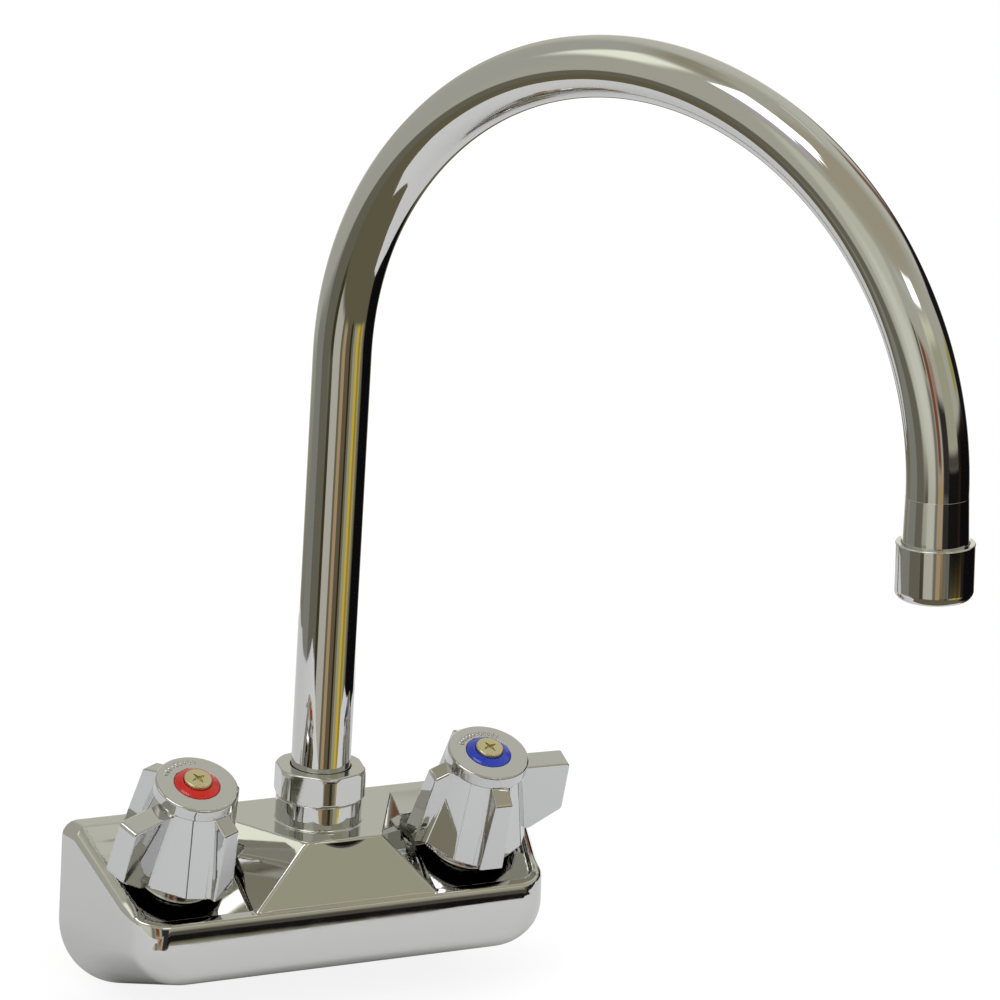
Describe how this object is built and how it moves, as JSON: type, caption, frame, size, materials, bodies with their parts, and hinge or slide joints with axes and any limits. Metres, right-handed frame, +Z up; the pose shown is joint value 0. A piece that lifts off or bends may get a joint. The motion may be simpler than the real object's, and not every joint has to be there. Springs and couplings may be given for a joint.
{
  "type": "splash mount faucet",
  "caption": "Chrome splash mount faucet with a swivelling gooseneck spout, an aerator and hot and cold quarter-turn lever handles on four inch centres.",
  "frame": {"origin": "centre of the wall face of the body, midway between the two inlet shank axes", "axes": "+X along the body toward the cold handle, +Y into the wall, +Z up"},
  "size_m": [0.1925, 0.265, 0.3325],
  "materials": {
    "chrome_body": "polished chrome plate on cast brass",
    "chrome_spout": "polished chrome plate on drawn brass tube",
    "chrome_nut": "polished chrome plate, faint turning lines on the round face",
    "chrome_handle": "polished chrome plate on die-cast zinc",
    "brass": "machined raw brass",
    "screw_brass": "pale yellow passivated screw head",
    "steel": "zinc plated steel",
    "rubber": "black nitrile rubber",
    "acetal": "white acetal",
    "ceramic_disc": "lapped alumina",
    "red_plastic": "glossy red",
    "blue_plastic": "glossy blue"
  },
  "bodies": {
    "base": {"body_casting": "chrome_body", "hot_shank": "brass", "cold_shank": "brass", "hot_wall_washer": "steel", "cold_wall_washer": "steel", "hot_lock_nut": "brass", "cold_lock_nut": "brass", "spout_nut": "chrome_nut", "spout_thrust_washer": "acetal", "spout_slip_ring": "acetal", "hot_cartridge": "brass", "hot_cartridge_o_ring": "rubber", "hot_bonnet_nut": "brass", "hot_seat_seal": "rubber", "hot_fixed_disc": "ceramic_disc", "cold_cartridge": "brass", "cold_cartridge_o_ring": "rubber", "cold_bonnet_nut": "brass", "cold_seat_seal": "rubber", "cold_fixed_disc": "ceramic_disc"},
    "spout": {"spout_tube": "chrome_spout", "spout_sleeve": "brass", "spout_lower_o_ring": "rubber", "spout_upper_o_ring": "rubber", "outlet_adapter": "chrome_spout", "aerator_shell": "chrome_spout", "aerator_gasket": "rubber", "aerator_insert": "acetal"},
    "hot_lever": {"hot_moving_disc": "ceramic_disc", "hot_stem": "brass", "hot_stem_o_ring": "rubber", "hot_stem_clip": "steel", "hot_handle": "chrome_handle", "hot_index_ring": "red_plastic", "hot_handle_screw": "screw_brass"},
    "cold_lever": {"cold_moving_disc": "ceramic_disc", "cold_stem": "brass", "cold_stem_o_ring": "rubber", "cold_stem_clip": "steel", "cold_handle": "chrome_handle", "cold_index_ring": "blue_plastic", "cold_handle_screw": "screw_brass"}
  },
  "joints": [
    {"name": "spout_swivel", "type": "hinge", "parent": "base", "child": "spout", "pos_m": [0, -0.0212, 0.03], "axis": [0, 0, 1], "range_deg": [-115, 60]},
    {"name": "hot_turn", "type": "hinge", "parent": "base", "child": "hot_lever", "pos_m": [-0.0508, -0.02627, 0.01973], "axis": [0, -0.3584, 0.9336], "range_deg": [0, 90]},
    {"name": "cold_turn", "type": "hinge", "parent": "base", "child": "cold_lever", "pos_m": [0.0508, -0.02627, 0.01973], "axis": [0, -0.3584, 0.9336], "range_deg": [-90, 0]}
  ]
}
